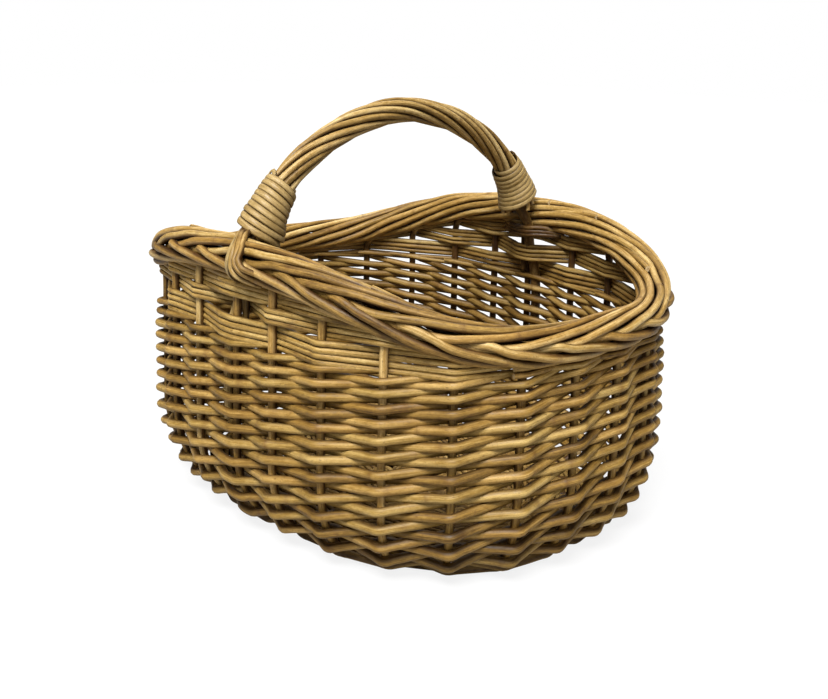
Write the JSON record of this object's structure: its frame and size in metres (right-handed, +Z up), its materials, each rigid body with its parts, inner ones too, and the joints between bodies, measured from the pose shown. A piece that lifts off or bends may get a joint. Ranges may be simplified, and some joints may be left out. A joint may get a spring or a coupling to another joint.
{
  "type": "shopping basket",
  "caption": "Oval willow shopping basket with a rolled foot, a rim that rises to the sides and a fixed roped handle across the middle.",
  "frame": {"origin": "on the floor, under the middle of the basket", "axes": "+X along the oval, +Z up, and the handle crosses the basket in the plane x = 0"},
  "size_m": [0.436, 0.3682, 0.3247],
  "materials": {
    "stake_willow": "satin buff willow, the border's strands among it",
    "rand_willow": "satin buff willow, varying from rod to rod",
    "packing_willow": "satin thin buff willow",
    "base_willow": "satin buff willow, worn dull on the foot",
    "handle_willow": "satin buff willow, a little polished by the hand",
    "skein_willow": "pale split willow, satin"
  },
  "bodies": {
    "root": {"stake_00": "stake_willow", "stake_01": "stake_willow", "stake_02": "stake_willow", "stake_03": "stake_willow", "stake_04": "stake_willow", "stake_05": "stake_willow", "stake_06": "stake_willow", "stake_07": "stake_willow", "stake_08": "stake_willow", "stake_09": "stake_willow", "stake_10": "stake_willow", "stake_11": "stake_willow", "stake_12": "stake_willow", "stake_13": "stake_willow", "stake_14": "stake_willow", "stake_15": "stake_willow", "stake_16": "stake_willow", "stake_17": "stake_willow", "stake_18": "stake_willow", "stake_19": "stake_willow", "stake_20": "stake_willow", "stake_21": "stake_willow", "stake_22": "stake_willow", "stake_23": "stake_willow", "stake_24": "stake_willow", "stake_25": "stake_willow", "rand_rod_00": "rand_willow", "rand_rod_01": "rand_willow", "rand_rod_02": "rand_willow", "rand_rod_03": "rand_willow", "rand_rod_04": "rand_willow", "rand_rod_05": "rand_willow", "rand_rod_06": "rand_willow", "rand_rod_07": "rand_willow", "rand_rod_08": "rand_willow", "rand_rod_09": "rand_willow", "rand_rod_10": "rand_willow", "rand_rod_11": "rand_willow", "rand_rod_12": "rand_willow", "rand_rod_13": "rand_willow", "rand_rod_14": "rand_willow", "rand_rod_15": "rand_willow", "rand_rod_16": "rand_willow", "rand_rod_17": "rand_willow", "rand_rod_18": "rand_willow", "rand_rod_19": "rand_willow", "rand_rod_20": "rand_willow", "rand_rod_21": "rand_willow", "rand_rod_22": "rand_willow", "rand_rod_23": "rand_willow", "rand_rod_24": "rand_willow", "rand_rod_25": "rand_willow", "base": "base_willow", "upsett_wale": "base_willow", "packing_near": "packing_willow", "packing_far": "packing_willow", "handle_bow": "handle_willow", "handle_roping": "handle_willow", "lapping_near": "skein_willow", "lapping_far": "skein_willow"}
  },
  "joints": []
}
